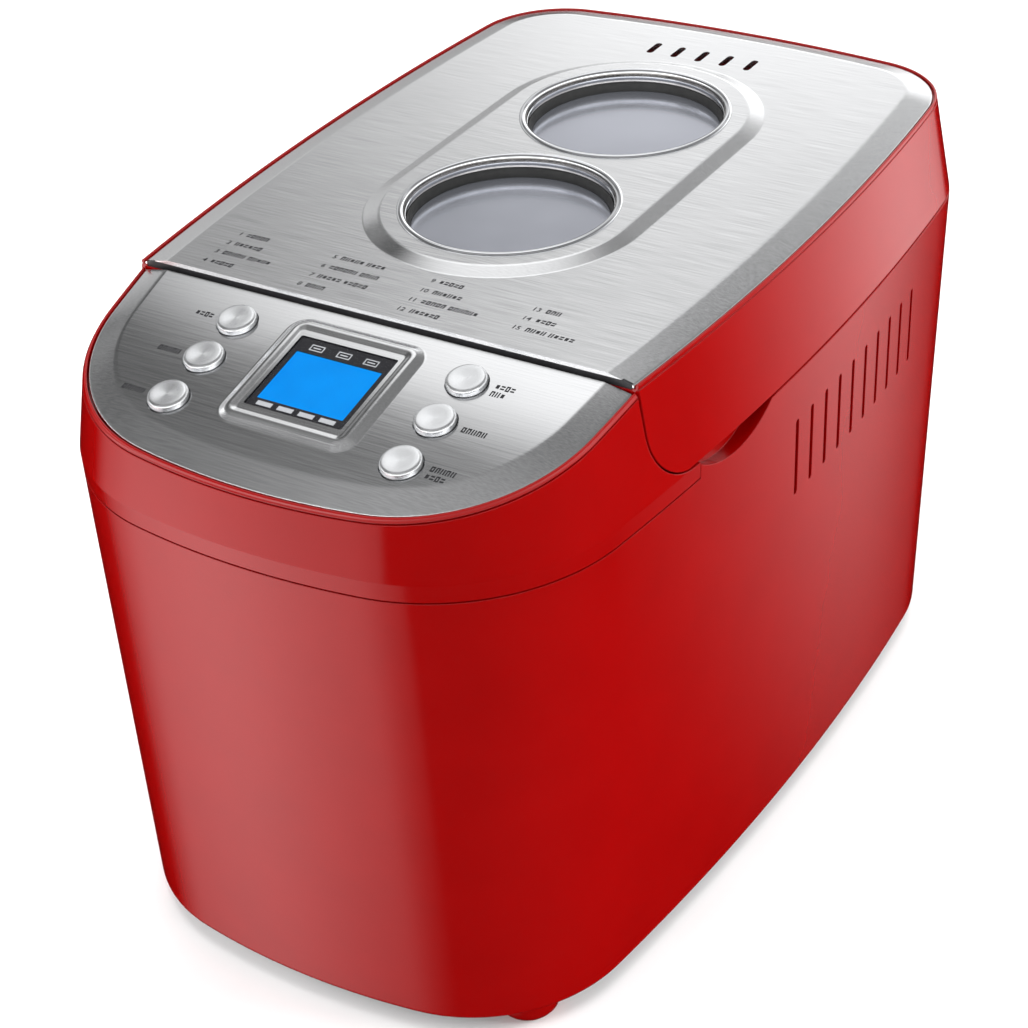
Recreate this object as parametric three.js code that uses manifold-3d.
// A horizontal two-paddle bread machine: tapered housing, front console with buttons and a display,
// hinged lid with two windows, baking chamber, removable pan, and a belt drive under the chamber.
// Millimetres, +Z up. The floor is z = 0, x = 0 is the middle plane and the front faces -Y.
import * as THREE from "three";
import { mergeVertices } from "three/addons/utils/BufferGeometryUtils.js";
import Module from "manifold-3d";

const wasm = await Module();
wasm.setup();

// ---- Driving sizes -------------------------------------------------------------------------
const bodyWidth = 268.6; // at the lid seam, where the sides are widest
const bodyLength = 434;
const deckHeight = 288; // floor to the flat steel top of the lid
const lidDepth = 51; // lid seam below the steel top
const consoleDepth = 59; // console seam below the steel top
const consoleLength = 103.4; // front of the body to the lid's front edge
const footHeight = 10;
const wall = 3;
const skin = 2.5; // plastic under the steel sheets
const fitGap = 0.3; // between fixed pieces that touch
const runGap = 0.5; // between pieces that move past each other
const seamGap = 0.8; // lid to body and lid to console

// Plan insets from the widest outline, and the round corners of each outline.
const deckInset = { side: 7.5, front: 5.5, rear: 10 };
const bottomInset = { side: 5.2, front: 3.5, rear: 1.5 };
const deckCorner = { front: 76.7, rear: 42.7 };
const seamCorner = { front: 84.2, rear: 50.2 };
const bottomCorner = { front: 75, rear: 74 };
const bow = { side: 1388, front: 337, rear: 697 }; // radii of the gently bowed sides
const sideMiddle = 26.8; // where the bowed sides are widest
const edgeRound = 1.5;

const plate = { thickness: 4, sheet: 0.8, lip: 1.5, lipDrop: 2.4, bevelWidth: 12, bevelDrop: 3 };
const panelSlope = THREE.MathUtils.degToRad(12.2);
const panelDrop = 3.2; // panel below the lid top, at the lid's front edge
const lidCornerRadius = 27;
const strapLength = 31; // how far the console's side walls reach back under the lid

const plateau = { height: 2.3, foot: 63.5, top: 56 };
const windowOffset = 103.7; // lid's front edge to the front window
const paddleSpacing = 101.9; // also the window spacing
const windowRadius = 45.8;
const bezel = { flange: 3, flangeHeight: 0.9, lift: 0.05, barrel: 0.6, depth: 15, ledge: 4.3, bore: 1.4 };
const glass = { thickness: 3, recess: 9 };
const windowSides = 32;
const deckVents = { count: 5, pitch: 13, width: 3.4, length: 12.4, offset: 280.9 };
const sideVents = { count: 10, pitch: 14, width: 2.6, height: 38, drop: 75, offset: 111.5 };
const linerVents = { count: 5, pitch: 24, x: 88, width: 4, length: 16 };
const scoop = { start: 29, length: 59, drop: 10, depth: 9, wall: 2.5 };

const buttonRadius = 8.5;
const buttonHeight = 3;
const buttonTravel = 1.2;
const buttonStem = 3; // radius
const buttonEdge = 1.4;
const buttonColumn = 55.4;
const buttonRow = { start: 11.3, gaps: [6.7, 7.9] }; // from the lid's front edge, and between caps
const buttonNames = {
  left: ["menu_button", "timer_up_button", "timer_down_button"],
  right: ["loaf_size_button", "crust_button", "start_stop_button"],
};
const flange = { width: 2, thickness: 1.5 };
const display = { half: 23.3, start: 18.7, length: 42.6, glass: 1, border: 2.6, topBand: 7, foot: 4 };
const emboss = { half: 33, start: 7.5, length: 65, slope: 5, height: 2.2, corner: 9 };
const board = { half: 72, start: 10, length: 76, thickness: 1.6, depth: 13.5 };
const tactSwitch = { half: 3, height: 1.5 };
const standoff = { radius: 3, inset: 4 };

const hinge = { x: 45, inset: 7, drop: 24, eye: 6, pin: 2, ear: 4, arm: 16, rise: 47, relief: 1 };
const hingeBase = { top: 14, bottom: 30 }; // below the hinge line
const hingeArmNeck = { rise: 11, thickness: 5 };
const hingeClear = { housing: 20, deck: 12, under: 3 }; // room left round the hinge

const chamber = { halfX: 75, halfY: 116, depth: 150, corner: 20, wall: 1.5, flange: 8 };
const deckPlate = { thickness: 3, drop: 1.5 };
const pan = { halfX: 57, halfY: 96, height: 112, draft: 5, wall: 1.5, rim: 4, corner: 24 };
const panBase = { radius: 24, wall: 3, height: 10.5 };
const bail = { wire: 2, rise: 3, reach: 60, ear: 2, earHalf: 5, play: 0.8, earGap: 3, bend: 12 };
const element = { radius: 3.2, halfX: 66, halfY: 104, height: 16, terminal: 20, tail: 22, bend: 9 };
const probe = { radius: 3, nut: 6, nutLength: 4, reach: 8, height: 60 };
const spindle = { radius: 5, coupler: 12, disc: 2, lug: 5, lugHeight: 4 };
const bearing = { wall: 4, flange: 5, below: 3, flangeHeight: 4 };
const panBearingSize = { flange: 4, thickness: 2, rise: 8 };
const panShaft = { radius: 4, bar: 22, barWidth: 5, barHeight: 3, top: 32 };
const paddle = { hub: 9, draft: 1.5, height: 20, blade: 38, bladeThickness: 5 };
const driveFrame = { half: 36, drop: 22, thickness: 2.5, beyond: 35, corner: 12 };
const framePost = { radius: 5, x: 28, y: 85 };
const pulley = { large: 46, small: 20, motor: 8, width: 8, flange: 2, flangeThickness: 1, gap: 2, below: 9 };
const beltThickness = 2.5;
const motor = { radius: 36, height: 70, inset: 57, shaft: 4, bore: 18, edge: 4 };
const motorCrown = { inset: 10, height: 6 };

const foot = { radius: 14, sideInset: 44.8, endInset: 44.5, sole: 9, roll: 4 };
const basePlate = { thickness: 2.5, slots: 7, slotPitch: 12, slotWidth: 4, slotLength: 70 };
const powerBoard = { halfX: 20, halfY: 45, x: 84, y: -95, thickness: 1.6 };
const boardPost = { radius: 3, height: 4, inset: 5 };
const inlet = { x: -60, height: 45, radius: 6.5, bore: 4, flange: 4, proud: 1.2, length: 18 };

// ---- Places worked out from the sizes --------------------------------------------------------
const bottomZ = footHeight;
const seamZ = deckHeight - lidDepth;
const consoleZ = deckHeight - consoleDepth;
const seamY = -bodyLength / 2 + consoleLength;
const buttonRows = buttonRow.gaps.reduce(
  (rows, gap) => [...rows, rows.at(-1) + 2 * buttonRadius + gap],
  [buttonRow.start + buttonRadius],
);
const panelTop = deckHeight - panelDrop;
const frontPaddleY = seamY + windowOffset;
const rearPaddleY = frontPaddleY + paddleSpacing;
const chamberY = (frontPaddleY + rearPaddleY) / 2;
const deckPlateTop = seamZ - deckPlate.drop;
const chamberFloor = deckPlateTop - chamber.depth;
const plateauTop = deckHeight + plateau.height;
const skinTop = plate.thickness + fitGap; // depth below the steel's top face
const skinBottom = skinTop + skin;
const linerBottom = seamZ + 2.5;
const linerTop = linerBottom + 1.5;
const wideBeyond = bodyLength; // reaches past the whole body, for cutting tools

// ---- Solids ----------------------------------------------------------------------------------
function toManifold(geometry) {
  const bare = geometry.clone();
  bare.deleteAttribute("normal");
  bare.deleteAttribute("uv");
  const merged = mergeVertices(bare, 1e-4);
  const corners = merged.index.array;
  const triangles = [];
  for (let i = 0; i < corners.length; i += 3) {
    const [a, b, c] = corners.slice(i, i + 3);
    if (a !== b && b !== c && c !== a) triangles.push(a, b, c);
  }
  return new wasm.Manifold(
    new wasm.Mesh({
      numProp: 3,
      vertProperties: merged.attributes.position.array,
      triVerts: new Uint32Array(triangles),
    }),
  );
}

function toGeometry(manifold) {
  const mesh = manifold.getMesh();
  const geometry = new THREE.BufferGeometry();
  geometry.setAttribute("position", new THREE.BufferAttribute(mesh.vertProperties, 3));
  geometry.setIndex(new THREE.BufferAttribute(mesh.triVerts, 1));
  return geometry;
}

function join(first, ...others) {
  return toGeometry(others.reduce((sum, g) => sum.add(toManifold(g)), toManifold(first)));
}

function cut(first, ...tools) {
  return toGeometry(tools.reduce((rest, g) => rest.subtract(toManifold(g)), toManifold(first)));
}

function common(first, ...others) {
  return toGeometry(others.reduce((sum, g) => sum.intersect(toManifold(g)), toManifold(first)));
}

// A skin through stacked rings of equally many points, anticlockwise from above, capped at both ends.
function loft(rings) {
  const count = rings[0].length;
  const positions = rings.flat().flatMap((p) => [p.x, p.y, p.z]);
  const faces = [];
  for (let i = 0; i + 1 < rings.length; i++) {
    for (let j = 0; j < count; j++) {
      const a = i * count + j;
      const b = i * count + ((j + 1) % count);
      faces.push(a, b, b + count, a, b + count, a + count);
    }
  }
  const last = (rings.length - 1) * count;
  const flat = (ring) => ring.map((p) => new THREE.Vector2(p.x, p.y));
  for (const [a, b, c] of THREE.ShapeUtils.triangulateShape(flat(rings[0]), [])) faces.push(a, c, b);
  for (const [a, b, c] of THREE.ShapeUtils.triangulateShape(flat(rings.at(-1)), [])) {
    faces.push(last + a, last + b, last + c);
  }
  const geometry = new THREE.BufferGeometry();
  geometry.setAttribute("position", new THREE.Float32BufferAttribute(positions, 3));
  geometry.setIndex(faces);
  return geometry;
}

const ringAt = (points, z) => points.map((p) => new THREE.Vector3(p.x, p.y, z));

function box(x0, x1, y0, y1, z0, z1) {
  const geometry = new THREE.BoxGeometry(x1 - x0, y1 - y0, z1 - z0);
  return geometry.translate((x0 + x1) / 2, (y0 + y1) / 2, (z0 + z1) / 2);
}

// An upright cylinder, and one that lies along Y.
function post(radius, x, y, z0, z1, sides = 16) {
  const geometry = new THREE.CylinderGeometry(radius, radius, z1 - z0, sides);
  return geometry.rotateX(Math.PI / 2).translate(x, y, (z0 + z1) / 2);
}

function bar(radius, x, y0, y1, z, sides = 16) {
  return new THREE.CylinderGeometry(radius, radius, y1 - y0, sides).translate(x, (y0 + y1) / 2, z);
}

// A cylinder along X.
function pinAlongX(radius, x0, x1, y, z, sides = 16) {
  const geometry = new THREE.CylinderGeometry(radius, radius, x1 - x0, sides);
  return geometry.rotateZ(Math.PI / 2).translate((x0 + x1) / 2, y, z);
}

// A turned piece round a vertical axis through (x, y); the profile is [radius, z], bottom to top.
function turned(profile, x, y, sides = 20) {
  const points = profile.map(([r, z]) => new THREE.Vector2(r, z));
  return new THREE.LatheGeometry(points, sides).rotateX(Math.PI / 2).translate(x, y, 0);
}

function slab(shape, z0, z1, curveSegments = 6) {
  const options = { depth: z1 - z0, bevelEnabled: false, curveSegments };
  return new THREE.ExtrudeGeometry(shape, options).translate(0, 0, z0);
}

// A profile of (y, z) points drawn along X.
function prismAlongX(points, x0, x1) {
  const options = { depth: x1 - x0, bevelEnabled: false };
  const geometry = new THREE.ExtrudeGeometry(new THREE.Shape(points), options);
  const turn = new THREE.Matrix4().makeBasis(
    new THREE.Vector3(0, 1, 0),
    new THREE.Vector3(0, 0, 1),
    new THREE.Vector3(1, 0, 0),
  );
  return geometry.applyMatrix4(turn).translate(x0, 0, 0);
}

function arcPoints(x, y, radius, from, to, steps) {
  return Array.from({ length: steps + 1 }, (_, i) => {
    const angle = from + ((to - from) * i) / steps;
    return new THREE.Vector2(x + radius * Math.cos(angle), y + radius * Math.sin(angle));
  });
}

// Rounded rectangle points, anticlockwise.
function roundedRectangle(halfX, halfY, corner, centreY = 0, steps = 4) {
  const quarter = Math.PI / 2;
  const corners = [
    [1, -1, -quarter],
    [1, 1, 0],
    [-1, 1, quarter],
    [-1, -1, 2 * quarter],
  ];
  return corners.flatMap(([sx, sy, start]) =>
    arcPoints(
      sx * (halfX - corner),
      centreY + sy * (halfY - corner),
      corner,
      start,
      start + quarter,
      steps,
    ),
  );
}

// The tight loop round two circles on the middle plane, as a belt runs round two pulleys.
function loopAround(yA, radiusA, yB, radiusB, steps = 10) {
  const spread = Math.acos((radiusA - radiusB) / (yB - yA));
  const ahead = Math.PI / 2;
  return [
    ...arcPoints(0, yB, radiusB, ahead - spread, ahead + spread, steps),
    ...arcPoints(0, yA, radiusA, ahead + spread, ahead + 2 * Math.PI - spread, steps),
  ];
}

// A round wire along a path of straight runs with rounded bends.
function wire(points, bend, radius, steps) {
  const path = new THREE.CurvePath();
  const corners = points.map((p) => new THREE.Vector3(...p));
  let from = corners[0];
  for (let i = 1; i + 1 < corners.length; i++) {
    const towards = (target) => target.clone().sub(corners[i]);
    const reach = (target) => Math.min(bend, towards(target).length() / 2);
    const enter = corners[i].clone().addScaledVector(
      towards(corners[i - 1]).normalize(), reach(corners[i - 1]),
    );
    const leave = corners[i].clone().addScaledVector(
      towards(corners[i + 1]).normalize(), reach(corners[i + 1]),
    );
    path.add(new THREE.LineCurve3(from, enter));
    path.add(new THREE.QuadraticBezierCurve3(enter, corners[i], leave));
    from = leave;
  }
  path.add(new THREE.LineCurve3(from, corners.at(-1)));
  const section = new THREE.Shape().absarc(0, 0, radius, 0, 2 * Math.PI);
  const options = { extrudePath: path, steps, curveSegments: 3, bevelEnabled: false };
  return new THREE.ExtrudeGeometry(section, options);
}

// ---- The plan outline ------------------------------------------------------------------------
const inset = (by, corner) => ({
  half: bodyWidth / 2 - by.side,
  front: -bodyLength / 2 + by.front,
  rear: bodyLength / 2 - by.rear,
  frontCorner: corner.front,
  rearCorner: corner.rear,
});
const seamPlan = inset({ side: 0, front: 0, rear: 0 }, seamCorner);
const deckPlan = inset(deckInset, deckCorner);
const bottomPlan = inset(bottomInset, bottomCorner);

// The centre of a corner circle that touches the side's circle and the end's circle from inside.
function cornerCentre(side, end, radius) {
  const near = side.radius - radius;
  const far = end.radius - radius;
  const dx = end.x - side.x;
  const dy = end.y - side.y;
  const span = Math.hypot(dx, dy);
  const along = (near ** 2 - far ** 2 + span ** 2) / (2 * span);
  const across = Math.sqrt(near ** 2 - along ** 2);
  const lean = end.sign;
  return {
    x: side.x + (dx * along - lean * dy * across) / span,
    y: side.y + (dy * along + lean * dx * across) / span,
  };
}

// Points of one outline, anticlockwise from the middle of the front, grown outwards by `grow`.
function outline(plan, grow = 0) {
  const side = {
    radius: bow.side + grow,
    x: plan.half - bow.side,
    y: sideMiddle,
  };
  const front = { radius: bow.front + grow, x: 0, y: plan.front + bow.front, sign: -1 };
  const rear = { radius: bow.rear + grow, x: 0, y: plan.rear - bow.rear, sign: 1 };
  const frontRadius = plan.frontCorner + grow;
  const rearRadius = plan.rearCorner + grow;
  const low = cornerCentre(side, front, frontRadius);
  const high = cornerCentre(side, rear, rearRadius);
  const angle = (from, to) => Math.atan2(to.y - from.y, to.x - from.x);
  const quarter = Math.PI / 2;
  const half = [
    ...arcPoints(0, front.y, front.radius, -quarter, angle(front, low), 3),
    ...arcPoints(low.x, low.y, frontRadius, angle(front, low), angle(side, low), 6).slice(1),
    ...arcPoints(side.x, side.y, side.radius, angle(side, low), 0, 2).slice(1),
    ...arcPoints(side.x, side.y, side.radius, 0, angle(side, high), 2).slice(1),
    ...arcPoints(high.x, high.y, rearRadius, angle(side, high), angle(rear, high), 5).slice(1),
    ...arcPoints(0, rear.y, rear.radius, angle(rear, high), quarter, 4).slice(1),
  ];
  const mirrored = half.slice(1, -1).reverse();
  return [...half, ...mirrored.map((p) => new THREE.Vector2(-p.x, p.y))];
}

function mixPlans(from, to, share) {
  const mixed = {};
  for (const key of Object.keys(from)) mixed[key] = from[key] + (to[key] - from[key]) * share;
  return mixed;
}

// The housing's plan at a height: it widens from the floor to the lid seam, then closes to the deck.
function planAt(z) {
  if (z <= seamZ) return mixPlans(bottomPlan, seamPlan, (z - bottomZ) / (seamZ - bottomZ));
  return mixPlans(seamPlan, deckPlan, (z - seamZ) / (deckHeight - seamZ));
}

const levelRing = (z, grow) => ringAt(outline(planAt(z), grow), z);

// The rear wall's inner face at a height and a distance from the middle plane.
function rearInnerY(z, x) {
  const sagitta = bow.rear - Math.sqrt(bow.rear ** 2 - x ** 2);
  return planAt(z).rear - wall - sagitta;
}

// Panel coordinates: x across, -y forwards from the lid's front edge, z out of the panel.
const panelMatrix = new THREE.Matrix4()
  .makeRotationX(panelSlope)
  .setPosition(0, seamY, panelTop);
const onPanel = (geometry) => geometry.applyMatrix4(panelMatrix);
const panelZ = (y) => panelTop + (y - seamY) * Math.tan(panelSlope);

// ---- Zones that split the upper housing into lid and console ---------------------------------
// The lid's side view: straight front edge, rounded lower front corner, level seam.
function lidZone(shrink) {
  const front = seamY + seamGap / 2 + shrink;
  const under = seamZ + seamGap / 2 + shrink;
  const radius = lidCornerRadius - shrink;
  const quarter = Math.PI / 2;
  const corner = arcPoints(front + radius, under + radius, radius, 2 * quarter, 3 * quarter, 8);
  const points = [
    new THREE.Vector2(front, deckHeight + wideBeyond),
    ...corner,
    new THREE.Vector2(wideBeyond, under),
    new THREE.Vector2(wideBeyond, deckHeight + wideBeyond),
  ];
  return prismAlongX(points, -wideBeyond, wideBeyond);
}

function boxBetween(y0, y1, z0, z1) {
  return box(-wideBeyond, wideBeyond, y0, y1, z0, z1);
}

// ---- Housings --------------------------------------------------------------------------------
function scoopTool(side, extra) {
  const radius = ((scoop.length / 2) ** 2 + scoop.drop ** 2) / (2 * scoop.drop);
  const y = seamY + scoop.start + scoop.length / 2;
  const z = seamZ - scoop.drop + radius;
  const inner = bodyWidth / 2 - scoop.depth - extra;
  const outer = bodyWidth / 2 + wall;
  const [x0, x1] = side > 0 ? [inner, outer] : [-outer, -inner];
  return pinAlongX(radius + extra, x0, x1, y, z, 48);
}

function ventSlots() {
  const top = deckHeight - sideVents.drop;
  return Array.from({ length: sideVents.count }, (_, i) => {
    const y = seamY + sideVents.offset + i * sideVents.pitch;
    const half = sideVents.width / 2;
    return boxBetween(y - half, y + half, top - sideVents.height, top);
  });
}

function bodyHousing() {
  const outer = loft([
    levelRing(bottomZ, -edgeRound),
    levelRing(bottomZ + edgeRound, 0),
    levelRing(seamZ, 0),
  ]);
  const inner = loft([
    ringAt(outline(planAt(bottomZ), -wall), bottomZ - wall),
    ringAt(outline(planAt(seamZ), -wall), seamZ + wall),
  ]);
  const strapEnd = seamY + strapLength;
  const tools = [
    boxBetween(-wideBeyond, strapEnd, consoleZ - fitGap, deckHeight),
    boxBetween(strapEnd - 1, wideBeyond, seamZ - seamGap / 2, deckHeight),
    bar(inlet.radius + fitGap, inlet.x, seamY, wideBeyond, inlet.height),
    ...ventSlots(),
  ];
  for (const side of [-1, 1]) {
    const x = side * hinge.x;
    const notch = hinge.arm / 2 + runGap + hinge.ear + runGap;
    const low = hingeZ - hinge.eye - hingeClear.under;
    tools.push(box(x - notch, x + notch, hingeY - hingeClear.housing, wideBeyond, low, seamZ + 1));
  }
  const bosses = [-1, 1].map((side) => common(outer, scoopTool(side, scoop.wall)));
  const pockets = [-1, 1].map((side) => scoopTool(side, 0));
  return cut(join(cut(outer, inner), ...bosses), ...tools, ...pockets);
}

// A block from the console seam up to the sloping panel, less `down` below the panel's top.
function consoleBlock(grow, down, z0) {
  const top = outline(deckPlan, grow).map((p) => new THREE.Vector3(p.x, p.y, panelZ(p.y) - down));
  return loft([ringAt(outline(planAt(z0), grow), z0), levelRing(seamZ, grow), top]);
}

function consoleHousing() {
  const outer = consoleBlock(0, plate.lipDrop, consoleZ);
  const inner = consoleBlock(-wall, skinBottom / Math.cos(panelSlope), consoleZ - wall);
  const back = seamY - seamGap / 2 - wall;
  const frontHollow = common(inner, boxBetween(-wideBeyond, back, 0, wideBeyond));
  const strapHollow = common(inner, boxBetween(seamY - seamGap / 2, wideBeyond, 0, wideBeyond));
  const tools = [
    frontHollow,
    strapHollow,
    lidZone(-seamGap),
    boxBetween(seamY + strapLength - fitGap, wideBeyond, 0, wideBeyond),
    boxBetween(seamY - seamGap / 2, wideBeyond, seamZ + lidCornerRadius, wideBeyond),
    onPanel(fasciaBlock(fitGap)),
    onPanel(displayWindow(runGap, -skinBottom - wall, plate.thickness)),
  ];
  for (const [x, y] of buttonPlaces()) {
    tools.push(onPanel(post(buttonRadius + runGap, x, y, -skinBottom - wall, plate.thickness)));
  }
  const standoffX = (display.half + buttonColumn - buttonRadius) / 2;
  const standoffs = [-1, 1].flatMap((side) =>
    [board.start + standoff.inset, board.start + board.length - standoff.inset].map((d) =>
      onPanel(post(standoff.radius, side * standoffX, -d, -board.depth + fitGap, -skinTop - 1, 8)),
    ),
  );
  return join(cut(outer, ...tools), ...standoffs);
}

// The deck outline laid on the panel, in panel coordinates.
const panelRing = (grow, z) =>
  outline(deckPlan, grow).map((p) => new THREE.Vector3(p.x, (p.y - seamY) / Math.cos(panelSlope), z));

// The fascia's shape in panel coordinates, grown by a clearance when it is the recess that takes it.
function fasciaBlock(clearance) {
  const rim = clearance - plate.lip;
  const flat = rim - plate.bevelWidth;
  const full = loft([
    panelRing(rim, -plate.thickness - clearance),
    panelRing(rim, -plate.bevelDrop),
    panelRing(flat, clearance),
  ]);
  const lean = plate.thickness * Math.tan(panelSlope); // keeps the tilted rear edge off the lid
  const back = -seamGap / 2 - (clearance ? -seamGap : lean);
  return common(full, boxBetween(-wideBeyond, back, -wideBeyond, wideBeyond));
}

const buttonPlaces = () =>
  [-1, 1].flatMap((side) => buttonRows.map((d) => [side * buttonColumn, -d]));

function displayWindow(clearance, z0, z1) {
  const { half, start, length } = display;
  const y = -(start + length / 2);
  const x = half + clearance;
  return box(-x, x, y - length / 2 - clearance, y + length / 2 + clearance, z0, z1);
}

// The hollow under a folded sheet: the same rings, a sheet's thickness inside its faces.
function sheetHollow(ringOf, top) {
  const rim = -plate.lip - plate.sheet;
  return loft([
    ringOf(rim, top - plate.thickness - 1),
    ringOf(rim, top - plate.bevelDrop - plate.sheet / 2),
    ringOf(-plate.lip - plate.bevelWidth, top - plate.sheet),
  ]);
}

function controlFascia() {
  const y = -(emboss.start + emboss.length / 2);
  const foot = roundedRectangle(emboss.half, emboss.length / 2, emboss.corner, y);
  const top = roundedRectangle(
    emboss.half - emboss.slope,
    emboss.length / 2 - emboss.slope,
    emboss.corner - emboss.slope / 2,
    y,
  );
  const frame = loft([ringAt(foot, -1), ringAt(foot, 0), ringAt(top, emboss.height)]);
  const holes = buttonPlaces().map(([x, d]) =>
    post(buttonRadius + runGap, x, d, -wall - plate.thickness, wall),
  );
  const opening = displayWindow(0, -wall - plate.thickness, wall);
  const rearFold = boxBetween(-wideBeyond, -seamGap - 2 * plate.sheet, -wideBeyond, wideBeyond);
  const hollow = common(sheetHollow(panelRing, 0), rearFold);
  const pressed = ringAt(foot, -plate.thickness);
  const under = loft([
    pressed,
    ringAt(foot, -plate.sheet),
    ringAt(top, emboss.height - plate.sheet),
  ]);
  return cut(join(cut(fasciaBlock(0), hollow), cut(frame, under)), opening, ...holes);
}

// ---- Console pieces, in panel coordinates ----------------------------------------------------
function buttonCap() {
  const under = -skinBottom - fitGap;
  const stem = -board.depth + tactSwitch.height + buttonTravel + fitGap;
  const profile = [
    [0, stem],
    [buttonStem, stem],
    [buttonStem, under - flange.thickness],
    [buttonRadius + flange.width, under - flange.thickness],
    [buttonRadius + flange.width, under],
    [buttonRadius, under],
    [buttonRadius, buttonHeight - buttonEdge],
    [buttonRadius - 0.3 * buttonEdge, buttonHeight - 0.3 * buttonEdge],
    [buttonRadius - buttonEdge, buttonHeight],
    [0, buttonHeight],
  ];
  return turned(profile, 0, 0, 16);
}

const displayY = -(display.start + display.length / 2);
const displayHalfY = display.length / 2;

// The opening of the black surround: a deeper band on the side nearest the lid.
function displayOpening(clearance, z0, z1) {
  const x = display.half - display.border - clearance;
  const near = displayY - displayHalfY + display.foot + clearance;
  const far = displayY + displayHalfY - display.topBand - clearance;
  return box(-x, x, near, far, z0, z1);
}

const bezelTop = emboss.height - display.glass - 0.4;
const moduleTop = -skinBottom;

function lcdBezel() {
  return cut(
    displayWindow(-fitGap, moduleTop + fitGap, bezelTop),
    displayOpening(0, moduleTop - 1, bezelTop + 1),
  );
}

function lcdModule() {
  return join(
    displayWindow(-fitGap, -board.depth + fitGap, moduleTop),
    displayOpening(fitGap, moduleTop - 1, bezelTop - 1),
  );
}

function controlBoard() {
  const y = -(board.start + board.length / 2);
  const top = -board.depth;
  const sheet = box(
    -board.half, board.half, y - board.length / 2, y + board.length / 2, top - board.thickness, top,
  );
  const switches = buttonPlaces().map(([x, d]) =>
    box(
      x - tactSwitch.half, x + tactSwitch.half, d - tactSwitch.half, d + tactSwitch.half,
      top - 0.5, top + tactSwitch.height,
    ),
  );
  return join(sheet, ...switches);
}

// ---- Lid -------------------------------------------------------------------------------------
const windowPlaces = { front: frontPaddleY, rear: rearPaddleY };
const wellRadius = windowRadius + bezel.barrel + runGap;

function deckSlots(z0, z1) {
  const y = seamY + deckVents.offset;
  return Array.from({ length: deckVents.count }, (_, i) => {
    const x = (i - (deckVents.count - 1) / 2) * deckVents.pitch;
    const half = deckVents.width / 2;
    return box(x - half, x + half, y - deckVents.length / 2, y + deckVents.length / 2, z0, z1);
  });
}

const windowCuts = (radius, z0, z1) =>
  Object.values(windowPlaces).map((y) => post(radius, 0, y, z0, z1, windowSides));

function topPlateBlock(clearance) {
  const rim = clearance - plate.lip;
  const full = loft([
    ringAt(outline(deckPlan, rim), deckHeight - plate.thickness - clearance),
    ringAt(outline(deckPlan, rim), deckHeight - plate.bevelDrop),
    ringAt(outline(deckPlan, rim - plate.bevelWidth), deckHeight + clearance),
  ]);
  const front = seamY + seamGap / 2 - (clearance ? seamGap : 0);
  return common(full, boxBetween(front, wideBeyond, 0, wideBeyond));
}

function lidTopPlate() {
  const stadium = (rings) =>
    loft(rings.map(([r, z]) => ringAt(loopAround(frontPaddleY, r, rearPaddleY, r), z)));
  const raised = stadium([
    [plateau.foot, deckHeight - plate.sheet],
    [plateau.foot, deckHeight],
    [plateau.top, plateauTop],
  ]);
  const raisedHollow = stadium([
    [plateau.foot - plate.sheet, deckHeight - plate.thickness],
    [plateau.foot - plate.sheet, deckHeight - plate.sheet],
    [plateau.top - plate.sheet, plateauTop - plate.sheet],
  ]);
  const deckRing = (grow, z) => ringAt(outline(deckPlan, grow), z);
  const frontFold = boxBetween(seamY + seamGap / 2 + plate.sheet, wideBeyond, 0, wideBeyond);
  const hollow = common(sheetHollow(deckRing, deckHeight), frontFold);
  return cut(
    join(cut(topPlateBlock(0), hollow), raised),
    raisedHollow,
    ...windowCuts(wellRadius, seamZ, wideBeyond),
    ...deckSlots(seamZ, wideBeyond),
  );
}

function lidSkirt() {
  const top = deckHeight - plate.lipDrop;
  const outer = common(
    loft([levelRing(seamZ, 0), levelRing(top, 0)]),
    lidZone(0),
  );
  const ceiling = deckHeight - skinBottom;
  const inner = common(
    loft([
      ringAt(outline(planAt(seamZ), -wall), seamZ - wall),
      levelRing(seamZ, -wall),
      levelRing(ceiling, -wall),
    ]),
    lidHollowZone(),
  );
  const collars = windowCuts(wellRadius + skin, linerTop + fitGap, ceiling + 1);
  return cut(
    join(cut(outer, inner), ...collars),
    topPlateBlock(fitGap),
    ...windowCuts(wellRadius, seamZ, wideBeyond),
    ...deckSlots(seamZ, wideBeyond),
    boxBetween(hingeY - 10, wideBeyond, seamZ, seamZ + seamGap / 2 + hinge.relief),
  );
}

// The inside of the lid: its front wall follows the rounded corner, and its underside is open.
function lidHollowZone() {
  const front = seamY + seamGap / 2 + wall;
  const radius = lidCornerRadius - wall;
  const quarter = Math.PI / 2;
  const centreZ = seamZ + seamGap / 2 + lidCornerRadius;
  const corner = arcPoints(front + radius, centreZ, radius, 2 * quarter, 3 * quarter, 8);
  const points = [
    new THREE.Vector2(front, deckHeight + wideBeyond),
    ...corner,
    new THREE.Vector2(front + radius, seamZ - wall),
    new THREE.Vector2(wideBeyond, seamZ - wall),
    new THREE.Vector2(wideBeyond, deckHeight + wideBeyond),
  ];
  return prismAlongX(points, -wideBeyond, wideBeyond);
}

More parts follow.
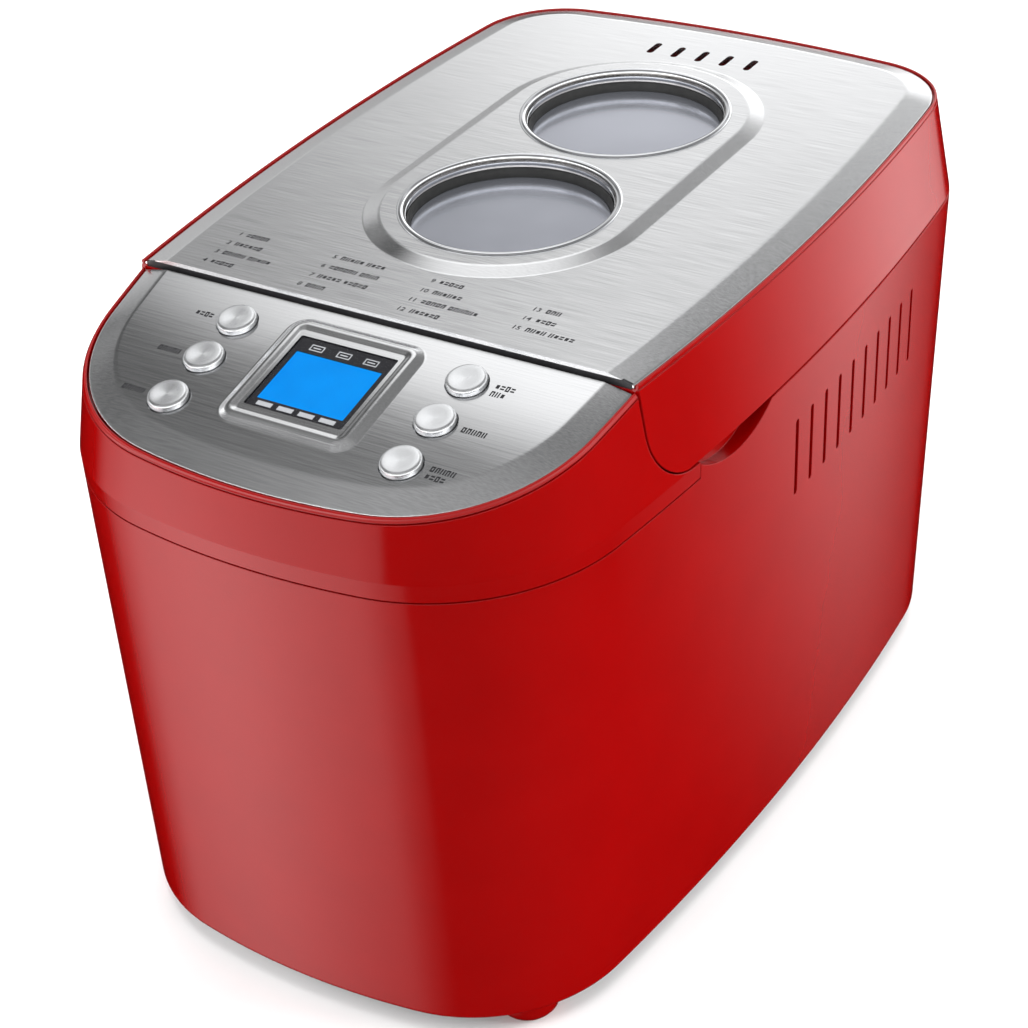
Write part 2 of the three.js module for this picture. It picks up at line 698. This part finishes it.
function lidLiner() {
  const sheet = common(
    loft([levelRing(linerBottom, -wall - fitGap), levelRing(linerTop, -wall - fitGap)]),
    boxBetween(seamY + seamGap / 2 + lidCornerRadius + fitGap, wideBeyond, 0, wideBeyond),
  );
  const slots = [-1, 1].flatMap((side) =>
    Array.from({ length: linerVents.count }, (_, i) => {
      const y = chamberY + (i - (linerVents.count - 1) / 2) * linerVents.pitch;
      const x = side * linerVents.x;
      const halfX = linerVents.width / 2;
      const halfY = linerVents.length / 2;
      return box(x - halfX, x + halfX, y - halfY, y + halfY, linerBottom - 1, linerTop + 1);
    }),
  );
  const armNotches = [-1, 1].map((side) => {
    const half = hinge.arm / 2 + fitGap;
    const x = side * hinge.x;
    return box(x - half, x + half, armBack - hingeArmNeck.thickness - fitGap, wideBeyond, 0, wideBeyond);
  });
  return cut(sheet, ...windowCuts(wellRadius, 0, wideBeyond), ...slots, ...armNotches);
}

function windowBezel(y) {
  const outer = windowRadius + bezel.barrel;
  const bottom = plateauTop - bezel.depth;
  const seat = plateauTop - glass.recess - glass.thickness - fitGap;
  const lip = plateauTop + bezel.flangeHeight;
  const profile = [
    [outer - bezel.ledge, bottom],
    [outer, bottom],
    [outer, plateauTop + bezel.lift],
    [windowRadius + bezel.flange, plateauTop + bezel.lift],
    [windowRadius + bezel.flange - bezel.flangeHeight / 2, lip],
    [windowRadius, lip],
    [windowRadius - bezel.bore / 2, plateauTop - bezel.flangeHeight],
    [windowRadius - bezel.bore, seat],
    [outer - bezel.ledge, seat],
    [outer - bezel.ledge, bottom],
  ];
  return turned(profile, 0, y, windowSides);
}

function windowGlass(y) {
  const top = plateauTop - glass.recess;
  return post(windowRadius - bezel.bore - fitGap, 0, y, top - glass.thickness, top, windowSides);
}

// ---- Hinge -----------------------------------------------------------------------------------
const hingeY = bodyLength / 2 - hinge.inset;
const hingeZ = seamZ - hinge.drop;
const armTop = hingeZ + hinge.rise;
const armBack = rearInnerY(armTop, hinge.x + hinge.arm / 2) - 2 * fitGap;

function hingeBracket(x) {
  const half = hinge.arm / 2 + runGap + hinge.ear;
  const low = hingeZ - hingeBase.bottom;
  const back = rearInnerY(low, hinge.x + half) - 2 * fitGap;
  const ears = [-1, 1].flatMap((side) => {
    const inside = x + side * (half - hinge.ear);
    const [x0, x1] = [inside, x + side * half].sort((a, b) => a - b);
    return [
      pinAlongX(hinge.eye, x0, x1, hingeY, hingeZ, 20),
      box(x0, x1, hingeY - hinge.eye, back, hingeZ - hingeBase.top - 1, hingeZ),
    ];
  });
  const base = box(x - half, x + half, hingeY - hinge.eye, back, low, hingeZ - hingeBase.top);
  const bore = pinAlongX(hinge.pin + fitGap / 2, x - half - 1, x + half + 1, hingeY, hingeZ, 20);
  return cut(join(base, ...ears), bore);
}

function hingePin(x) {
  const half = hinge.arm / 2 + runGap + hinge.ear;
  return pinAlongX(hinge.pin, x - half, x + half, hingeY, hingeZ, 20);
}

function hingeArm(x) {
  const half = hinge.arm / 2;
  const eye = pinAlongX(hinge.eye, x - half, x + half, hingeY, hingeZ, 20);
  const neckTop = hingeZ + hingeArmNeck.rise;
  const front = armBack - hingeArmNeck.thickness;
  const neck = prismAlongX(
    [
      new THREE.Vector2(hingeY - hinge.eye, hingeZ),
      new THREE.Vector2(hingeY + hinge.eye - 1, hingeZ),
      new THREE.Vector2(armBack, neckTop),
      new THREE.Vector2(front, neckTop),
    ],
    x - half,
    x + half,
  );
  const leaf = box(x - half, x + half, front, armBack, neckTop - 0.5, armTop);
  const bore = pinAlongX(hinge.pin + fitGap, x - half - 1, x + half + 1, hingeY, hingeZ, 20);
  return cut(join(eye, neck, leaf), bore);
}

// ---- Chamber and its deck --------------------------------------------------------------------
function chamberDeck() {
  const top = deckPlateTop;
  const bottom = top - deckPlate.thickness;
  const grow = -wall - fitGap;
  const sheet = common(
    loft([ringAt(outline(planAt(bottom), grow), bottom), ringAt(outline(planAt(bottom), grow), top)]),
    boxBetween(seamY - seamGap / 2 + fitGap, wideBeyond, 0, wideBeyond),
  );
  const hole = roundedRectangle(
    chamber.halfX + runGap, chamber.halfY + runGap, chamber.corner + runGap, chamberY,
  );
  const bosses = [-1, 1].map((side) => scoopTool(side, scoop.wall + fitGap));
  const hingeSlots = [-1, 1].map((side) => {
    const half = hinge.arm / 2 + 2 * runGap + hinge.ear;
    const x = side * hinge.x;
    return box(x - half, x + half, hingeY - hingeClear.deck, wideBeyond, 0, wideBeyond);
  });
  return cut(sheet, slab(new THREE.Shape(hole), 0, wideBeyond), ...bosses, ...hingeSlots);
}

function bakingChamber() {
  const { halfX, halfY, corner, flange: rim } = chamber;
  const rect = (grow) =>
    new THREE.Shape(roundedRectangle(halfX + grow, halfY + grow, corner + grow, chamberY));
  const lipZ = deckPlateTop + fitGap;
  const shell = join(
    slab(rect(0), chamberFloor, lipZ + 0.5),
    slab(rect(rim), lipZ, lipZ + 1),
  );
  const cavity = slab(rect(-chamber.wall), chamberFloor + chamber.wall, seamZ + 1);
  const spindles = [frontPaddleY, rearPaddleY].map((y) =>
    post(spindle.radius + bearing.wall + 2 * fitGap, 0, y, 0, chamberFloor + 5),
  );
  const terminals = [-1, 1].map((side) =>
    bar(element.radius + 0.5, side * element.terminal, seamY, chamberY - halfY + 10, elementZ, 16),
  );
  const probeHole = pinAlongX(probe.radius + fitGap, 0, halfX + probe.reach, chamberY, probeZ, 16);
  return cut(shell, cavity, ...spindles, ...terminals, probeHole);
}

const elementZ = chamberFloor + element.height;
const probeZ = chamberFloor + probe.height;

function heatingElement() {
  const front = chamberY - element.halfY;
  const back = chamberY + element.halfY;
  const outside = chamberY - chamber.halfY - element.tail;
  const x = element.terminal;
  return wire(
    [
      [-x, outside, elementZ],
      [-x, front, elementZ],
      [-element.halfX, front, elementZ],
      [-element.halfX, back, elementZ],
      [element.halfX, back, elementZ],
      [element.halfX, front, elementZ],
      [x, front, elementZ],
      [x, outside, elementZ],
    ],
    element.bend,
    element.radius,
    56,
  );
}

function temperatureProbe() {
  const face = chamber.halfX;
  return join(
    pinAlongX(probe.radius, face - probe.reach, face + probe.reach, chamberY, probeZ, 16),
    pinAlongX(probe.nut, face + fitGap, face + probe.nutLength, chamberY, probeZ, 16),
  );
}

// ---- Pan, bail, paddles ----------------------------------------------------------------------
const panFloor = chamberFloor + chamber.wall + fitGap + panBase.height;
const panRim = panFloor + pan.height;
const bailZ = panRim + bail.rise;
const panEndY = pan.halfY + pan.rim;

function breadPan() {
  const rect = (grow, z) =>
    ringAt(roundedRectangle(pan.halfX + grow, pan.halfY + grow, pan.corner, chamberY), z);
  const outer = join(
    loft([rect(-pan.draft, panFloor), rect(0, panRim)]),
    loft([rect(pan.rim, panRim - pan.wall), rect(pan.rim, panRim)]),
  );
  const inner = loft([
    rect(-pan.draft - pan.wall, panFloor + pan.wall),
    rect(-pan.wall, panRim + 1),
  ]);
  const footRing = (radius) =>
    new THREE.Shape(loopAround(frontPaddleY, radius, rearPaddleY, radius));
  const base = slab(footRing(panBase.radius), panFloor - panBase.height, panFloor + 0.5);
  const hollow = slab(footRing(panBase.radius - panBase.wall), 0, panFloor);
  const ears = [-1, 1].map((end) => {
    const near = chamberY + end * (panEndY - bail.ear);
    const far = chamberY + end * panEndY;
    const [y0, y1] = [near, far].sort((a, b) => a - b);
    return join(
      box(-bail.earHalf, bail.earHalf, y0, y1, panRim - 1, bailZ),
      bar(bail.earHalf, 0, y0, y1, bailZ, 16),
    );
  });
  const through = panEndY + 1;
  const eyes = bar(bail.wire + bail.play, 0, chamberY - through, chamberY + through, bailZ, 16);
  const shafts = [frontPaddleY, rearPaddleY].map((y) =>
    post(panShaft.radius + bearing.wall + fitGap, 0, y, 0, panFloor + 5),
  );
  return cut(join(outer, base, ...ears), hollow, inner, eyes, ...shafts);
}

function panBail() {
  const arm = panEndY + bail.earGap + bail.wire;
  const stub = panEndY - bail.ear - 2;
  return wire(
    [
      [0, chamberY - stub, bailZ],
      [0, chamberY - arm, bailZ],
      [bail.reach, chamberY - arm, bailZ],
      [bail.reach, chamberY + arm, bailZ],
      [0, chamberY + arm, bailZ],
      [0, chamberY + stub, bailZ],
    ],
    bail.bend,
    bail.wire,
    44,
  );
}

const couplerBottom = chamberFloor + chamber.wall + 2;

function panBearing(y) {
  const bore = panShaft.radius + fitGap;
  const outer = panShaft.radius + bearing.wall;
  const flangeTop = panFloor - fitGap;
  const low = flangeTop - panBearingSize.thickness;
  const top = panFloor + panBearingSize.rise;
  const profile = [
    [bore, low],
    [outer + panBearingSize.flange, low],
    [outer + panBearingSize.flange, flangeTop],
    [outer, flangeTop],
    [outer, top],
    [bore, top],
    [bore, low],
  ];
  return turned(profile, 0, y, 16);
}

function panShaftPiece(y) {
  const low = couplerBottom + spindle.disc + 2 * fitGap;
  const halfX = panShaft.barWidth / 2;
  const halfY = panShaft.bar / 2;
  return join(
    post(panShaft.radius, 0, y, low, panFloor + panShaft.top, 20),
    box(-halfX, halfX, y - halfY, y + halfY, low, low + panShaft.barHeight),
  );
}

function kneadingPaddle(y) {
  const low = panFloor + panBearingSize.rise + fitGap;
  const bore = panShaft.radius + fitGap;
  const hub = turned(
    [
      [bore, low],
      [paddle.hub, low],
      [paddle.hub - paddle.draft, low + paddle.height],
      [bore, low + paddle.height],
      [bore, low],
    ],
    0,
    y,
    20,
  );
  const fin = new THREE.Shape();
  fin.moveTo(0, 0);
  fin.lineTo(paddle.blade, 0);
  fin.quadraticCurveTo(paddle.blade + 2, paddle.height * 0.9, paddle.blade - 14, paddle.height * 1.3);
  fin.quadraticCurveTo(12, paddle.height * 1.3, 0, paddle.height * 0.6);
  const half = paddle.bladeThickness / 2;
  const blade = new THREE.ExtrudeGeometry(fin, {
    depth: paddle.bladeThickness,
    bevelEnabled: false,
    curveSegments: 5,
  });
  blade.rotateX(Math.PI / 2).translate(0, y + half, low + 0.5);
  const bores = post(bore, 0, y, low - 1, low + paddle.height * 2, 20);
  return cut(join(hub, blade), bores);
}

// ---- Drive -----------------------------------------------------------------------------------
const frameTop = chamberFloor - driveFrame.drop;
const frameBottom = frameTop - driveFrame.thickness;
const upperTier = frameBottom - pulley.below;
const lowerTier = upperTier - pulley.width - pulley.gap;
const motorY = -bodyLength / 2 + wall + motor.inset;
const spindleBottom = lowerTier - pulley.width - 3;

function driveSpindle(y) {
  const discTop = couplerBottom + spindle.disc;
  const disc = post(spindle.coupler, 0, y, couplerBottom, discTop, 24);
  const shaft = post(spindle.radius, 0, y, spindleBottom, couplerBottom + 1, 20);
  const lugs = [-1, 1].map((side) => {
    const far = side * (spindle.coupler - 1);
    const near = side * (spindle.coupler - 1 - spindle.lug);
    const [x0, x1] = [near, far].sort((a, b) => a - b);
    const half = spindle.lug / 2;
    return box(x0, x1, y - half, y + half, discTop - 0.5, discTop + spindle.lugHeight);
  });
  return join(shaft, disc, ...lugs);
}

function driveBearing(y) {
  const bore = spindle.radius + fitGap;
  const outer = spindle.radius + bearing.wall;
  const low = frameBottom - bearing.below;
  const top = couplerBottom - fitGap;
  const profile = [
    [bore, low],
    [outer, low],
    [outer, frameTop + fitGap],
    [outer + bearing.flange, frameTop + fitGap],
    [outer + bearing.flange, frameTop + bearing.flangeHeight],
    [outer, frameTop + bearing.flangeHeight],
    [outer, top],
    [bore, top],
    [bore, low],
  ];
  return turned(profile, 0, y, 16);
}

function driveFramePlate() {
  const front = motorY - motor.radius;
  const back = rearPaddleY + driveFrame.beyond;
  const half = driveFrame.half;
  const sheet = slab(
    new THREE.Shape(
      roundedRectangle(half, (back - front) / 2, driveFrame.corner, (back + front) / 2, 3),
    ),
    frameBottom,
    frameTop,
  );
  const posts = [-1, 1].flatMap((sx) =>
    [-1, 1].map((sy) =>
      post(
        framePost.radius,
        sx * framePost.x,
        chamberY + sy * framePost.y,
        frameTop - 1,
        chamberFloor - fitGap,
        12,
      ),
    ),
  );
  const holes = [frontPaddleY, rearPaddleY].map((y) =>
    post(spindle.radius + bearing.wall + fitGap, 0, y, 0, chamberFloor),
  );
  const shaftHole = post(motor.shaft + 2, 0, motorY, 0, chamberFloor);
  return cut(join(sheet, ...posts), ...holes, shaftHole);
}

// A grooved wheel tier from z0 down by the pulley width.
function tier(radius, zTop) {
  const low = zTop - pulley.width;
  const rim = radius + pulley.flange;
  return [
    [rim, low],
    [rim, low + pulley.flangeThickness],
    [radius, low + pulley.flangeThickness],
    [radius, zTop - pulley.flangeThickness],
    [rim, zTop - pulley.flangeThickness],
    [rim, zTop],
  ];
}

function frontPulley() {
  const bore = spindle.radius + fitGap;
  const profile = [
    [bore, lowerTier - pulley.width],
    ...tier(pulley.small, lowerTier),
    ...tier(pulley.large, upperTier),
    [bore, upperTier],
    [bore, lowerTier - pulley.width],
  ];
  return turned(profile, 0, frontPaddleY, 24);
}

function plainPulley(radius, bore, zTop, y) {
  const low = zTop - pulley.width;
  return turned([[bore, low], ...tier(radius, zTop), [bore, zTop], [bore, low]], 0, y, 16);
}

function beltLoop(yA, radiusA, yB, radiusB, zTop) {
  const outside = fitGap + beltThickness;
  const inside = pulley.flangeThickness + fitGap;
  const loop = new THREE.Shape(loopAround(yA, radiusA + outside, yB, radiusB + outside, 18));
  loop.holes.push(new THREE.Path(loopAround(yA, radiusA + fitGap, yB, radiusB + fitGap, 18)));
  return slab(loop, zTop - pulley.width + inside, zTop - inside);
}

function motorBody() {
  const low = frameTop + fitGap;
  const profile = [
    [0, low],
    [motor.radius - motor.edge, low],
    [motor.radius, low + motor.edge],
    [motor.radius, low + motor.height - motorCrown.height],
    [motor.radius - motorCrown.inset, low + motor.height],
    [0, low + motor.height],
  ];
  const bore = post(motor.shaft + fitGap, 0, motorY, low - 5, low + motor.bore, 20);
  return cut(turned(profile, 0, motorY, 20), bore);
}

function motorShaft() {
  const top = frameTop + fitGap + motor.bore - 1;
  return post(motor.shaft, 0, motorY, upperTier - pulley.width - 2, top, 20);
}

// ---- Base ------------------------------------------------------------------------------------
function basePlatePiece() {
  const top = bottomZ + basePlate.thickness;
  const edge = outline(planAt(bottomZ), -wall - fitGap);
  const sheet = loft([ringAt(edge, bottomZ), ringAt(edge, top)]);
  const slots = Array.from({ length: basePlate.slots }, (_, i) => {
    const y = chamberY + (i - (basePlate.slots - 1) / 2) * basePlate.slotPitch;
    const half = basePlate.slotWidth / 2;
    return box(-basePlate.slotLength / 2, basePlate.slotLength / 2, y - half, y + half, 0, wideBeyond);
  });
  const posts = [-1, 1].flatMap((sx) =>
    [-1, 1].map((sy) =>
      post(
        boardPost.radius,
        powerBoard.x + sx * (powerBoard.halfX - boardPost.inset),
        powerBoard.y + sy * (powerBoard.halfY - boardPost.inset),
        top - 1,
        top + boardPost.height,
        12,
      ),
    ),
  );
  return join(cut(sheet, ...slots), ...posts);
}

function footPiece() {
  return turned(
    [
      [0, 0],
      [foot.sole, 0],
      [foot.radius - foot.roll / 2, foot.roll / 3],
      [foot.radius, foot.roll],
      [foot.radius, footHeight],
      [0, footHeight],
    ],
    0,
    0,
    16,
  );
}

function powerBoardPiece() {
  const z = bottomZ + basePlate.thickness + boardPost.height + fitGap;
  const { x, y, halfX, halfY } = powerBoard;
  return join(
    box(x - halfX, x + halfX, y - halfY, y + halfY, z, z + powerBoard.thickness),
    box(x - 10, x + 8, y - 35, y - 12, z + 1, z + 17),
    box(x - 12, x + 12, y, y + 22, z + 1, z + 13),
  );
}

function powerInlet() {
  const wallY = planAt(inlet.height).rear - (bow.rear - Math.sqrt(bow.rear ** 2 - inlet.x ** 2));
  const reach = inlet.radius + inlet.flange;
  const lean = (reach * Math.abs(inlet.x)) / bow.rear;
  const outer = wallY + lean + inlet.proud;
  return cut(
    join(
      bar(inlet.radius, inlet.x, outer - inlet.length, outer - 0.5, inlet.height, 20),
      cut(
        bar(reach, inlet.x, wallY - lean - wall, outer, inlet.height, 28),
        loft([levelRing(bottomZ, fitGap), levelRing(seamZ, fitGap)]),
      ),
    ),
    bar(inlet.bore, inlet.x, outer - inlet.length - 1, outer + 1, inlet.height, 16),
  );
}

// ---- Assembly --------------------------------------------------------------------------------
const finishes = {
  red: { color: 0xb01414, roughness: 0.25, metalness: 0 },
  darkRed: { color: 0x8c0d0d, roughness: 0.35, metalness: 0 },
  black: { color: 0x1c1c1e, roughness: 0.6, metalness: 0 },
  brushed: { color: 0xc9cbcd, roughness: 0.35, metalness: 1 },
  chrome: { color: 0xdfe1e4, roughness: 0.08, metalness: 1 },
  cap: { color: 0xd8dadd, roughness: 0.22, metalness: 1 },
  smoke: { color: 0x6d7077, roughness: 0.1, metalness: 0 },
  clear: { color: 0x2c3236, roughness: 0.05, metalness: 0 },
  blue: { color: 0x1496ff, roughness: 0.4, metalness: 0 },
  steel: { color: 0x9da1a5, roughness: 0.4, metalness: 1 },
  coated: { color: 0x3a3b3d, roughness: 0.55, metalness: 0.3 },
  board: { color: 0x1d5a34, roughness: 0.6, metalness: 0 },
  rubber: { color: 0x161616, roughness: 0.9, metalness: 0 },
  brass: { color: 0xb9954f, roughness: 0.35, metalness: 1 },
};

const machine = new THREE.Group();

function add(parent, name, finish, geometry) {
  const material = new THREE.MeshStandardMaterial({ ...finishes[finish] });
  const mesh = new THREE.Mesh(geometry, material);
  mesh.name = name;
  parent.add(mesh);
  return mesh;
}

function addConsole() {
  const panel = new THREE.Group();
  panel.position.set(0, seamY, panelTop);
  panel.rotation.x = panelSlope;
  machine.add(panel);
  add(machine, "console_housing", "red", consoleHousing());
  add(panel, "control_fascia", "brushed", controlFascia());
  add(panel, "lcd_bezel", "black", lcdBezel());
  add(panel, "lcd_module", "blue", lcdModule());
  add(panel, "lcd_window", "clear", displayWindow(-fitGap, bezelTop + fitGap / 2, emboss.height));
  add(panel, "control_board", "board", controlBoard());
  for (const [side, names] of Object.entries(buttonNames)) {
    names.forEach((name, row) => {
      const button = add(panel, name, "cap", buttonCap());
      button.position.set(side === "left" ? -buttonColumn : buttonColumn, -buttonRows[row], 0);
    });
  }
}

function addLid() {
  add(machine, "lid_skirt", "red", lidSkirt());
  add(machine, "lid_top_plate", "brushed", lidTopPlate());
  add(machine, "lid_liner", "steel", lidLiner());
  for (const [end, y] of Object.entries(windowPlaces)) {
    add(machine, `window_bezel_${end}`, "chrome", windowBezel(y));
    add(machine, `window_glass_${end}`, "smoke", windowGlass(y));
  }
}

function addHinges() {
  for (const [side, x] of [["left", -hinge.x], ["right", hinge.x]]) {
    add(machine, `hinge_bracket_${side}`, "black", hingeBracket(x));
    add(machine, `hinge_pin_${side}`, "steel", hingePin(x));
    add(machine, `hinge_arm_${side}`, "black", hingeArm(x));
  }
}

function addBakingParts() {
  add(machine, "chamber_deck", "black", chamberDeck());
  add(machine, "baking_chamber", "steel", bakingChamber());
  add(machine, "heating_element", "coated", heatingElement());
  add(machine, "temperature_probe", "steel", temperatureProbe());
  add(machine, "bread_pan", "coated", breadPan());
  add(machine, "pan_bail", "steel", panBail());
  for (const [end, y] of Object.entries(windowPlaces)) {
    add(machine, `pan_bearing_${end}`, "brass", panBearing(y));
    add(machine, `pan_shaft_${end}`, "steel", panShaftPiece(y));
    add(machine, `kneading_paddle_${end}`, "coated", kneadingPaddle(y));
  }
}

function addDrive() {
  add(machine, "drive_frame", "steel", driveFramePlate());
  for (const [end, y] of Object.entries(windowPlaces)) {
    add(machine, `drive_spindle_${end}`, "steel", driveSpindle(y));
    add(machine, `drive_bearing_${end}`, "brass", driveBearing(y));
  }
  const bore = spindle.radius + fitGap;
  add(machine, "drive_pulley_front", "black", frontPulley());
  add(machine, "drive_pulley_rear", "black", plainPulley(pulley.small, bore, lowerTier, rearPaddleY));
  const motorBore = motor.shaft + fitGap;
  add(machine, "motor_pulley", "steel", plainPulley(pulley.motor, motorBore, upperTier, motorY));
  const motorLoop = beltLoop(motorY, pulley.motor, frontPaddleY, pulley.large, upperTier);
  const crossLoop = beltLoop(frontPaddleY, pulley.small, rearPaddleY, pulley.small, lowerTier);
  add(machine, "motor_belt", "rubber", motorLoop);
  add(machine, "cross_belt", "rubber", crossLoop);
  add(machine, "motor_body", "steel", motorBody());
  add(machine, "motor_shaft", "steel", motorShaft());
}

function addBase() {
  add(machine, "body_housing", "red", bodyHousing());
  add(machine, "base_plate", "steel", basePlatePiece());
  add(machine, "power_board", "board", powerBoardPiece());
  add(machine, "power_inlet", "black", powerInlet());
  const footX = bodyWidth / 2 - foot.sideInset;
  const footY = bodyLength / 2 - foot.endInset;
  const corners = { front_left: [-1, -1], front_right: [1, -1], rear_left: [-1, 1], rear_right: [1, 1] };
  for (const [corner, [sx, sy]] of Object.entries(corners)) {
    add(machine, `foot_${corner}`, "darkRed", footPiece()).position.set(sx * footX, sy * footY, 0);
  }
}

addBase();
addConsole();
addLid();
addHinges();
addBakingParts();
addDrive();

export default machine;
